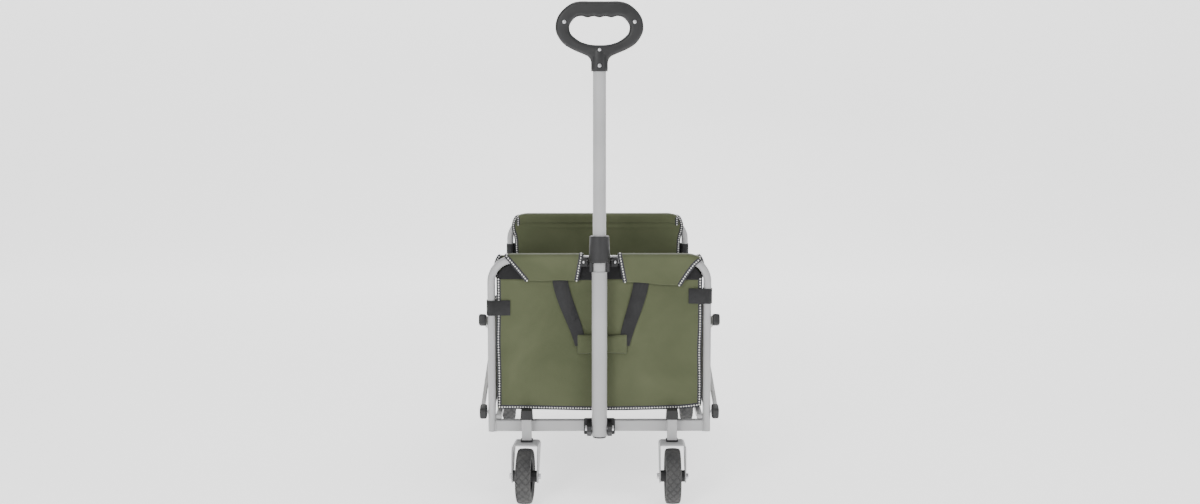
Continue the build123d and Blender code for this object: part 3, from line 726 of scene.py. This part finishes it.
def tape_on_edge(points, facing, across):
    """Folded binding tape over an edge: a flat-sided band that follows the edge."""
    section = [(-1, 0.55), (-0.85, 1), (0.85, 1), (1, 0.55)]
    section += [(-a, -b) for a, b in section]
    rings = []
    for place, along in spaced(points, 3 * mm if across else 6 * mm):
        side, lift = tape_sides(along, facing, across)
        rings.append([place + side * a * tape_width / 2 + lift * b * tape_thickness / 2 for a, b in section])
    return loft(rings)


def stitches_along(points, facing, across):
    """Pale thread loops, one every stitch, on both faces of a tape."""
    parts = []
    for place, along in spaced(points, stitch_pitch):
        side, lift = tape_sides(along, facing, across)
        for direction in (1, -1):
            centre = place + lift * direction * tape_thickness / 2
            verts = []
            for reach, height in ((1.0, 0.0), (0.8, 0.6), (0.35, 0.95)):
                lifted = centre + lift * direction * height * 0.9 * mm
                reach_along = along * reach * 1.9 * mm
                reach_across = side * reach * 1.6 * mm
                verts += [lifted + reach_along * c + reach_across * s for c, s in round_steps(8)]
            faces = wall_faces(3, 8)
            faces.append(tuple(16 + k for k in range(8)))
            parts.append((verts, faces))
    return parts


def bind_edges(name, edges, facing, body, across=None):
    """Tape and stitching along each of the given edges. Returns both pieces."""
    tapes = [tape_on_edge(edge, facing, across) for edge in edges]
    tape = new_object(f"{name}_tape", *join_parts(tapes), grey_tape, body)
    tape.data.set_sharp_from_angle(angle=radians(50))
    loops = []
    for edge in edges:
        loops += stitches_along(edge, facing, across)
    thread = new_object(f"{name}_stitching", *join_parts(loops), pale_thread, body)
    return [tape, thread]


def edge_of(point_at, start, end, steps=60):
    """Points along a straight line in a sheet's (u, v) space."""
    (u0, v0), (u1, v1) = start, end
    shares = [i / steps for i in range(steps + 1)]
    return [Vector(point_at(u0 + (u1 - u0) * t, v0 + (v1 - v0) * t)) for t in shares]


def panel_edges(point_at, top, foot, hem):
    """The two upright edges of an end panel and its lower hem."""
    left, right = 0.009, 0.991
    return [
        edge_of(point_at, (left, top), (left, foot)),
        edge_of(point_at, (left, hem), (right, hem), 90),
        edge_of(point_at, (right, foot), (right, top)),
    ]


panel_low, panel_high = corners("front_panel")
panel_mid = middle_of("front_panel").y
panel_half = panel_high.x


def front_panel_point(u, v):
    """Front panel: stretched nearly flat, pulled up at its lower right and slack round the middle."""
    x = (2 * u - 1) * (panel_half - 1.5 * mm)
    x += (1 - abs(2 * v - 1)) * 1.2 * mm * sin(9 * v + u)
    dip = -2.0 * mm - 5.5 * mm * sin(pi * u) ** 2 * (0.4 + 0.6 * u)
    lift = 6.0 * mm * max(0, (u - 0.86) / 0.14) ** 2 * (1 - v)
    bottom = panel_low.z + (dip + lift) * (1 - v) ** 2
    z = bottom + (panel_high.z - bottom) * v
    middle = sin(pi * u) * sin(pi * min(1, v * 1.1))
    folds = 1.25 * rumple(x, z, 4.0) + creases(x, z, 4.0)
    return (x, panel_mid - 1.2 * mm * middle + folds * (0.3 + 0.7 * middle), z)


front_panel = cloth_grid("front_panel_cloth", front_panel_point, 96, 64, 1.1 * mm, olive_ends, "front_frame")
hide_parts("front_panel")
edges = panel_edges(front_panel_point, 1.0, 0.015, 0.013)
bound = bind_edges("front_panel", edges, (0, -1, 0), "front_frame")

lining_low, lining_high = corners("front_lining")
lining_mid = middle_of("front_lining").y
corner_radius = 42 * mm


def cut_round(half, top, z):
    """Half width of an end panel at a height, cut round under the bends of the hoop."""
    over = max(0, z - (top - corner_radius))
    return half - corner_radius + sqrt(max(0, corner_radius ** 2 - over ** 2))


def lining_point(u, v):
    """Black lining that closes the top of the front end behind the flap."""
    z = lining_low.z - 2 * mm + (lining_high.z - lining_low.z + 2 * mm) * v
    x = (2 * u - 1) * cut_round(panel_half - 1 * mm, lining_high.z, z)
    return (x, lining_mid + 0.25 * rumple(x, z, 9.0), z)


lining = cloth_grid("front_lining_cloth", lining_point, 80, 10, 1.2 * mm, black_cloth, "front_frame")
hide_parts("front_lining")

rear_low, rear_high = corners("rear_panel")
rear_mid = middle_of("rear_panel").y


def rear_panel_point(u, v):
    """Rear panel, from the floor up to the hoop's top bar."""
    z = rear_low.z + 1 * mm + (rear_high.z - rear_low.z - 2 * mm) * v
    x = (2 * u - 1) * cut_round(panel_half - 1.5 * mm, rear_high.z, z)
    middle = sin(pi * u) * sin(pi * min(1, v * 1.1))
    folds = 1.1 * rumple(x, z, 15.0) + creases(x, z, 9.0)
    return (x, rear_mid + 1.0 * mm * middle + folds * (0.3 + 0.7 * middle), z)


rear_panel = cloth_grid("rear_panel_cloth", rear_panel_point, 96, 70, 1.1 * mm, olive_ends, "rear_frame")
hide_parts("rear_panel")
edges = panel_edges(rear_panel_point, 0.86, 0.012, 0.012)
bound = bind_edges("rear_panel", edges, (0, 1, 0), "rear_frame")

# ---- side panels ----
# The same olive cloth hangs between the hoops on both sides, its rim sagging in the middle and both
# long edges bound.
side_x = 235.4 * mm
for side, name in ((-1, "left"), (1, "right")):
    low, high = corners(f"side_panel_{name}")
    middle_x = side * side_x

    def side_point(u, v):
        """A side panel between the hoops: the rim sags and the cloth bellies out over the bars."""
        y = low.y + (high.y - low.y) * u
        sag = 26 * mm * sin(pi * u) ** 0.85 * (0.9 + 0.1 * sin(7 * u))
        top = high.z - sag
        z = low.z + (top - low.z) * v
        belly = sin(pi * u) * (0.3 + 0.7 * sin(pi * v))
        x = middle_x + side * (2 + 5 * v) * mm * belly
        x += side * 0.9 * abs(rumple(y, z, 21.0 + side)) * min(1, 8 * u, 8 * (1 - u))
        return (x, y, z)

    cloth = cloth_grid(f"side_panel_{name}_cloth", side_point, 150, 60, 1.1 * mm, olive_sides, "front_frame")
    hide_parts(f"side_panel_{name}")
    edges = [edge_of(side_point, (0.0, v), (1.0, v), 120) for v in (0.993, 0.01)]
    bound = bind_edges(f"side_panel_{name}", edges, (side, 0, 0), "front_frame")
    for piece in [cloth] + bound:
        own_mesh(piece)

# ---- flaps over the hoops ----
# Tongues of the same olive cloth folded over the top bars. The front one is split round the handle
# clip, and its outer ends are cut on the slant.
hoop_low, hoop_high = corners("front_hoop")
tube_deep = (hoop_high.y - hoop_low.y) / 2


def over_the_bar(t, outside, inside, clearance):
    """Height and offset of cloth that goes up one side of the bar, over it and down the other."""
    deep = tube_deep + clearance
    top = hoop_high.z + clearance
    turn_radius = 7 * mm
    straight_out = outside - turn_radius
    arc = pi / 2 * turn_radius
    flat = 2 * (deep - turn_radius)
    straight_in = inside - turn_radius
    s = t * (straight_out + arc + flat + arc + straight_in)
    if s < straight_out:
        return -deep, top - outside + s
    s -= straight_out
    if s < arc:
        a = s / turn_radius
        return -deep + turn_radius * (1 - cos(a)), top - turn_radius + turn_radius * sin(a)
    s -= arc
    if s < flat:
        return -deep + turn_radius + s, top + 0.8 * mm * sin(pi * s / flat)
    s -= flat
    if s < arc:
        a = s / turn_radius
        return deep - turn_radius * (1 - sin(a)), top - turn_radius * (1 - cos(a))
    s -= arc
    return deep, top - turn_radius - s


def corner_drop(x):
    """How far the hoop's top has fallen at x, where its bend begins."""
    bend_start = 191.5 * mm
    bend_radius = 58.5 * mm
    over = min(max(0, abs(x) - bend_start), 58 * mm)
    return bend_radius - sqrt(bend_radius ** 2 - over ** 2)


def make_flap(name, node, plane_y, outward, top_ends, low_ends, outside, inside, tilt, puff, body, seed):
    """One flap: top_ends and low_ends are its left and right limits at the bar and at its hem."""

    def point(u, v):
        offset, z = over_the_bar(v, outside, inside, 1.6 * mm + puff * 0.4)
        hang = min(1, max(0, (hoop_high.z - z) / outside)) if offset < 0 else 0
        left = top_ends[0] + (low_ends[0] - top_ends[0]) * hang
        right = top_ends[1] + (low_ends[1] - top_ends[1]) * hang
        x = left + (right - left) * u
        wave = 0.35 * abs(rumple(x, z, seed)) + 0.9 * mm * hang * (1 + sin(26 * x + seed)) / 2
        z += 0.8 * mm * hang * sin(9 * u + seed) - tilt * u * hang ** 2
        z += (puff * 0.6 - 0.8 * corner_drop(x)) * (1 - hang)
        return (x, plane_y + outward * (offset - wave if offset < 0 else offset), z)

    flap = cloth_grid(name, point, 70, 56, 1.2 * mm, olive_ends, body)
    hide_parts(node)
    edges = [edge_of(point, (u, 0.0), (u, 1.0), 90) for u in (0.012, 0.988)]
    bound = bind_edges(name, edges, (0, -outward, 0), body, across=(1, 0, 0))


rear_y = middle_of("rear_hoop").y
make_flap("front_flap_left_cloth", "front_flap_left", front_y, 1, (-0.208, -0.0385), (-0.160, -0.050),
          57 * mm, 24 * mm, -1 * mm, 2 * mm, "front_frame", 2.0)
make_flap("front_flap_right_cloth", "front_flap_right", front_y, 1, (0.0435, 0.226), (0.056, 0.177),
          59 * mm, 24 * mm, 10 * mm, 2 * mm, "front_frame", 5.0)
make_flap("rear_flap_cloth", "rear_flap", rear_y, -1, (-0.224, 0.224), (-0.174, 0.174),
          60 * mm, 24 * mm, 0, 9 * mm, "rear_frame", 8.0)

leaf_outline = [
    (0.000, 0.224), (0.006, 0.2295), (0.014, 0.2335), (0.026, 0.236), (0.040, 0.234),
    (0.054, 0.2295), (0.070, 0.227), (0.118, 0.226),
]


def leaf_half(drop):
    """Half width of an inner leaf, a distance below its top edge."""
    for (d0, h0), (d1, h1) in zip(leaf_outline, leaf_outline[1:]):
        if drop <= d1:
            t = (drop - d0) / (d1 - d0)
            return h0 + (h1 - h0) * t * t * (3 - 2 * t)
    return leaf_outline[-1][1]


for end, plane_y, outward, top_z, body in (
    ("front", front_y, 1, hoop_high.z - 1 * mm, "front_frame"),
    ("rear", rear_y, -1, hoop_high.z + 5 * mm, "rear_frame"),
):

    def leaf_point(u, v):
        """The inner leaf of an end flap, which hangs inside the hoop and covers its bends."""
        drop = (1 - v) * leaf_outline[-1][0]
        x = (2 * u - 1) * leaf_half(drop)
        z = top_z - drop
        crease = 1.3 * mm * sin(pi * u) * max(0, 1 - abs(drop - 0.03) / 0.006)
        y = plane_y + outward * (tube_deep + 3.4 * mm + 0.45 * abs(rumple(x, z, 41.0 + outward)) + crease)
        return (x, y, z)

    leaf = cloth_grid(f"{end}_inner_leaf", leaf_point, 90, 60, 1.2 * mm, olive_ends, body)
    edges = [edge_of(leaf_point, (0.008, 1), (0.008, 0)), edge_of(leaf_point, (0.992, 0), (0.992, 1))]
    bound = bind_edges(f"{end}_inner_leaf", edges, (0, outward, 0), body)

# ---- webbing ----
# Black polypropylene webbing: loops that tie the basket to the posts, and the two carry straps with
# their padded olive sleeves.
webbing, tree, shader = new_material("black_webbing", 0.72)
vary_colour(tree, shader, (0.006, 0.006, 0.007), (0.013, 0.013, 0.014), 40.0, 3.0)
where = tree.nodes.new("ShaderNodeTexCoord")
ribs = tree.nodes.new("ShaderNodeTexWave")
ribs.bands_direction = "DIAGONAL"
ribs.inputs["Scale"].default_value = 260.0
ribs.inputs["Distortion"].default_value = 0.6
tree.links.new(where.outputs["Object"], ribs.inputs["Vector"])
add_bump(tree, shader, ribs.outputs["Fac"], 0.5, 0.0006)
shader.inputs["Sheen Weight"].default_value = 0.1


def band(points, facing_at, width, thickness):
    """A flat webbing band whose face turns with the path. The width may change along it."""
    section = [(-1, 0), (-0.96, 0.8), (0.96, 0.8), (1, 0), (0.96, -0.8), (-0.96, -0.8)]
    last = len(points) - 1
    rings = []
    for i, place in enumerate(points):
        along = (points[min(last, i + 1)] - points[max(0, i - 1)]).normalized()
        facing = Vector(facing_at(i / last)).normalized()
        across = along.cross(facing).normalized()
        lift = across.cross(along).normalized()
        wide = width(i / last) if callable(width) else width
        rings.append([place + across * a * wide / 2 + lift * b * thickness / 2 for a, b in section])
    return loft(rings)


tube_half = 8.5 * mm
post_x = hoop_high.x - tube_half
webbing_clear = 1.5 * mm
webbing_width = 34 * mm
for end, plane_y, outward, body, heights, node in (
    ("front", front_y, 1, "front_frame", (0.4335, 0.4600), "front_post_straps"),
    ("rear", rear_y, -1, "rear_frame", (0.4605, 0.4605), "rear_post_straps"),
):
    panel_y = panel_mid - 2.2 * mm if end == "front" else rear_mid + 2.2 * mm
    parts = []
    for side, height in zip((-1, 1), heights):
        path = [
            Vector((side * 0.199, panel_y, height)),
            Vector((side * 0.212, panel_y - outward * 0.6 * mm, height)),
            Vector((side * 0.226, panel_y - outward * 3.2 * mm, height)),
        ]
        for step in range(33):
            turn = radians(118 - 296 * step / 32)
            x = side * (post_x + (tube_half + webbing_clear) * soft(cos(turn), 0.8))
            y = plane_y - outward * (tube_deep + webbing_clear) * soft(sin(turn), 0.8)
            path.append(Vector((x, y, height)))
        centre = Vector((side * post_x, plane_y, height))

        def facing(t):
            """Out of the panel where the end is sewn down, then away from the post."""
            if t < 0.08:
                return (0, -outward, 0)
            return path[min(len(path) - 1, int(t * (len(path) - 1)))] - centre

        parts.append(band(path, facing, webbing_width, 1.6 * mm))
    straps = new_object(f"{end}_post_webbing", *join_parts(parts), webbing, body)
    straps.data.set_sharp_from_angle(angle=radians(50))
    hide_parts(node)


def puff_up(piece, voxel, pressure, cap):
    """Swell a padded piece: even faces, twenty frames of cloth under pressure, a cap on the travel."""
    scene = bpy.context.scene

    def settled():
        graph = bpy.context.evaluated_depsgraph_get()
        return bpy.data.meshes.new_from_object(piece.evaluated_get(graph), depsgraph=graph)

    even = piece.modifiers.new("even_faces", "REMESH")
    even.mode = "VOXEL"
    even.voxel_size = voxel
    remeshed = settled()
    piece.modifiers.clear()
    materials = list(piece.data.materials)
    piece.data = remeshed
    before = [v.co.copy() for v in remeshed.vertices]
    cloth = piece.modifiers.new("filling", "CLOTH")
    cloth.settings.use_pressure = True
    cloth.settings.uniform_pressure_force = pressure
    cloth.settings.effector_weights.gravity = 0
    cloth.point_cache.frame_start = 1
    cloth.point_cache.frame_end = 20
    for step in range(1, 21):
        scene.frame_set(step)
    swollen = settled()
    for vertex, start in zip(swollen.vertices, before):
        travel = vertex.co - start
        if travel.length > cap:
            vertex.co = start + travel.normalized() * cap
    piece.modifiers.clear()
    scene.frame_set(1)
    work = bmesh.new()
    work.from_mesh(swollen)
    bmesh.ops.subdivide_edges(work, edges=work.edges, cuts=1, use_grid_fill=True, smooth=0.6)
    work.to_mesh(swollen)
    work.free()
    swollen.materials.clear()
    for material in materials:
        swollen.materials.append(material)
    swollen.shade_smooth()
    piece.data = swollen


def carry_width(t):
    """Width of a carry strap, which is gathered toward the sleeve."""
    return (34 - 10 * t * t) * mm


olive_sleeve = woven("olive_sleeve_cloth", olive_dark, olive_light, ("X", "Z"), 1.1 * mm, 0.3)
for end, outward, body in (("front", 1, "front_frame"), ("rear", -1, "rear_frame")):
    low, high = corners(f"{end}_carry_sleeve")
    centre = (low + high) / 2
    shift = 6.5 * mm if end == "front" else 0
    base_y = panel_mid - outward * 2.6 * mm if end == "front" else rear_mid + 2.6 * mm
    parts = []
    for side in (-1, 1):
        foot = Vector((shift + side * 0.049, centre.y, centre.z - 2 * mm))
        head = Vector((shift * 0.5 + side * 0.0915, base_y, 0.502))
        knee = foot + Vector((side * 9 * mm, 0, 52 * mm))
        hip = head + Vector((side * -5 * mm, 0, -52 * mm))
        points = []
        for i in range(25):
            t = i / 24
            s = 1 - t
            place = head * s ** 3 + hip * 3 * t * s ** 2 + knee * 3 * t * t * s + foot * t ** 3
            place.y = base_y + (centre.y - base_y) * max(0, (t - 0.6) / 0.4) ** 1.5
            place.y -= outward * 1.5 * mm * sin(pi * t)
            points.append(place)
        parts.append(band(points, lambda t: (0, -outward, 0.15 * t), carry_width, 1.8 * mm))
    strap = new_object(f"{end}_carry_webbing", *join_parts(parts), webbing, body)
    strap.data.set_sharp_from_angle(angle=radians(50))
    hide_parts(f"{end}_carry_strap")

    half = (high.x - low.x) / 2
    rings = []
    for i in range(41):
        t = i / 40
        x = centre.x + shift + (2 * t - 1) * half
        pinch = 1 - 0.25 * max(0, 1 - 14 * min(t, 1 - t))
        ring = []
        for k in range(28):
            turn = 2 * pi * k / 28
            tall = 23.0 * mm * soft(cos(turn), 0.7) * (0.97 + 0.03 * sin(8 * t))
            deep = 4.6 * mm * pinch * soft(sin(turn), 0.9)
            ripple = 0.45 * rumple(x * 2, turn * 0.03, 31.0) * abs(sin(turn))
            ring.append((x, centre.y + deep + ripple, centre.z + tall))
        rings.append(ring)
    sleeve = new_object(f"{end}_carry_sleeve_padded", *loft(rings), olive_sleeve, body)
    puff_up(sleeve, 4 * mm, 4.0, 2.2 * mm)
    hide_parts(f"{end}_carry_sleeve")

# ---- folding floor ----
# Two stiff boards covered in black cloth lie on the rails. A webbing loop in the middle pulls them
# up to fold the wagon.
for name, body in (("floor_board_front", "floor_front"), ("floor_board_rear", "floor_rear")):
    low, high = corners(name)
    centre = (low + high) / 2
    half_x, half_y, half_z = (high - low) / 2
    columns, rows = 60, 48

    def board_point(u, v, top):
        """A padded board cover, slightly crowned between quilting lines and flat beneath."""
        edge = min(1, 18 * min(u, 1 - u), 18 * min(v, 1 - v))
        swell = half_z * (0.35 + 0.65 * edge ** 0.5)
        quilt = abs(sin(pi * 3 * u)) ** 0.35 * abs(sin(pi * 2 * v)) ** 0.35
        z = centre.z + (swell * (0.86 + 0.14 * quilt) if top else -swell)
        return (centre.x + (2 * u - 1) * half_x, centre.y + (2 * v - 1) * half_y, z)

    verts = []
    for top in (True, False):
        for j in range(rows + 1):
            verts += [board_point(i / columns, j / rows, top) for i in range(columns + 1)]
    per = (columns + 1) * (rows + 1)
    faces = grid_faces(columns, rows)
    faces += [tuple(per + i for i in face[::-1]) for face in faces]
    ring = list(range(columns))
    ring += [columns + j * (columns + 1) for j in range(rows)]
    ring += [rows * (columns + 1) + i for i in range(columns, 0, -1)]
    ring += [j * (columns + 1) for j in range(rows, 0, -1)]
    for a, b in zip(ring, ring[1:] + ring[:1]):
        faces.append((a, per + a, per + b, b))
    board = new_object(f"{name}_covered", verts, faces, black_floor, body)
    board.data.set_sharp_from_angle(angle=radians(60))
    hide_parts(name)

# ---- basket floor ----
# Black cloth lies on the boards and turns up along the side panels. A strip of it stays with each
# end panel, sewn to its lower edge, and slopes down to the board.
middle_y = joint("fold_centre")["pos_m"][1]
for name, body, frame_body, inward, plane_y in (
    ("front", "floor_front", "front_frame", 1, front_y),
    ("rear", "floor_rear", "rear_frame", -1, rear_y),
):
    low, high = corners(f"floor_board_{name}")
    near = plane_y + inward * 36 * mm

    def floor_point(u, v):
        """Basket floor: lies on the board and turns up along the side panels."""
        x = (2 * u - 1) * 228.6 * mm
        y = near + (middle_y - near) * v
        lift = 13 * mm * max(0, (abs(x) - 222 * mm) / (6.6 * mm)) * min(1, abs(y - near) / (48 * mm))
        return (x, y, high.z + 0.8 * mm + lift)

    cloth = cloth_grid(f"basket_floor_{name}", floor_point, 90, 60, 1.0 * mm, black_floor, body)

    def gusset_point(u, v):
        """Strip of floor that stays with the end panel and slopes down from its lower edge."""
        x = (2 * u - 1) * (217 if inward > 0 else 205) * mm
        slack = 0.8 * mm * sin(pi * v) * (1 + 0.6 * sin(60 * x))
        return (x, plane_y + inward * (-4 + 33.5 * v) * mm, (207.5 - 9.5 * v) * mm - slack)

    gusset = cloth_grid(f"floor_gusset_{name}", gusset_point, 80, 10, 1.0 * mm, black_floor, frame_body)

# ---- pull strap ----
# A short piece of the black webbing, sewn down at both ends over the hinge of the boards, stands up
# in a loop. Pulling it up folds the wagon.
low, high = corners("fold_pull_strap")
middle_x = (low.x + high.x) / 2
points = []
for i in range(41):
    t = i / 40
    lift = sin(pi * t) ** 0.5
    z = low.z + 2.6 * mm + (high.z - low.z - 3.7 * mm) * lift
    points.append(Vector((middle_x, low.y + (high.y - low.y) * t, z)))
pull_band = band(points, lambda t: (0, cos(pi * (1 - t)) * -0.6, 1), webbing_width, 1.8 * mm)
pull = new_object("pull_webbing", *pull_band, webbing, "floor_front")
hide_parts("fold_pull_strap")
